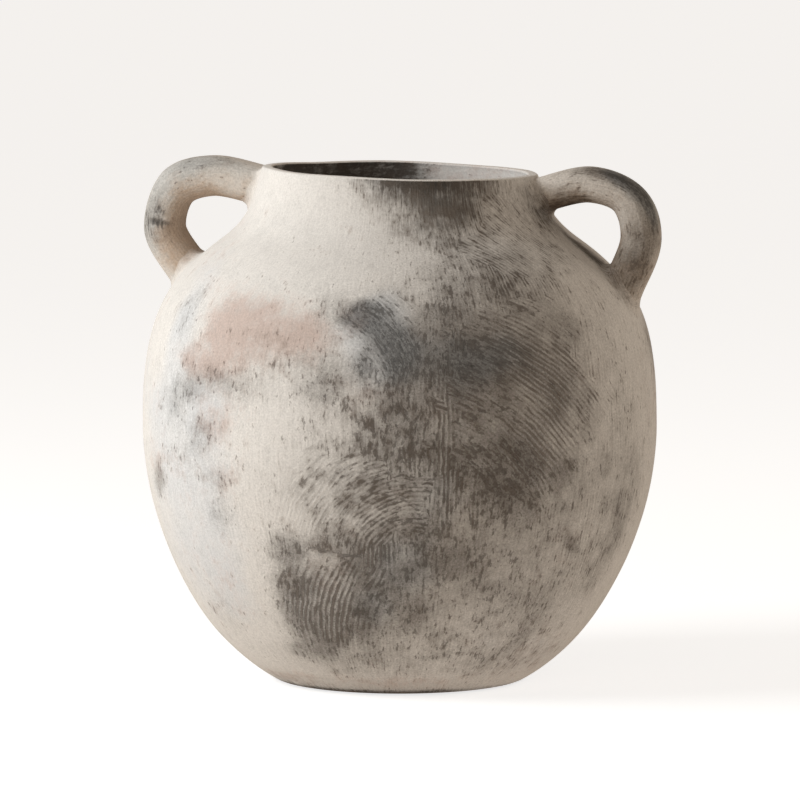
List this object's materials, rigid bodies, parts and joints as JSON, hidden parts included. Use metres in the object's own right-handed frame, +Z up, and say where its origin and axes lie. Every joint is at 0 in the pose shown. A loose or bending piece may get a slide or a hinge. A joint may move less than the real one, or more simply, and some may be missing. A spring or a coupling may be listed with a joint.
{
  "type": "rustic two-handled ceramic vase",
  "caption": "Wide-bellied rustic clay vase with a short collar, an open mouth and a loop handle on each side, whitewashed over smoky grey-brown clay.",
  "frame": {"origin": "middle of the flat underside of the foot", "axes": "+Z up through the middle of the mouth, +X towards the right handle, -Y towards the front"},
  "size_m": [0.2978, 0.2908, 0.2944],
  "materials": {
    "washed_clay": "unglazed fired clay, brushed with a chalky off-white slip worn through to smoky grey-brown, matt",
    "handle_clay": "unglazed fired clay, thin brown-grey wash rubbed pale on the high places, matt",
    "foot_clay": "bare unglazed fired clay, dry and slightly gritty, matt"
  },
  "bodies": {
    "root": {"foot_disc": "foot_clay", "lower_belly": "washed_clay", "upper_belly": "washed_clay", "neck": "washed_clay", "handle_right": "handle_clay", "handle_left": "handle_clay", "lute_right_upper": "handle_clay", "lute_right_lower": "handle_clay", "lute_left_upper": "handle_clay", "lute_left_lower": "handle_clay"}
  },
  "joints": []
}
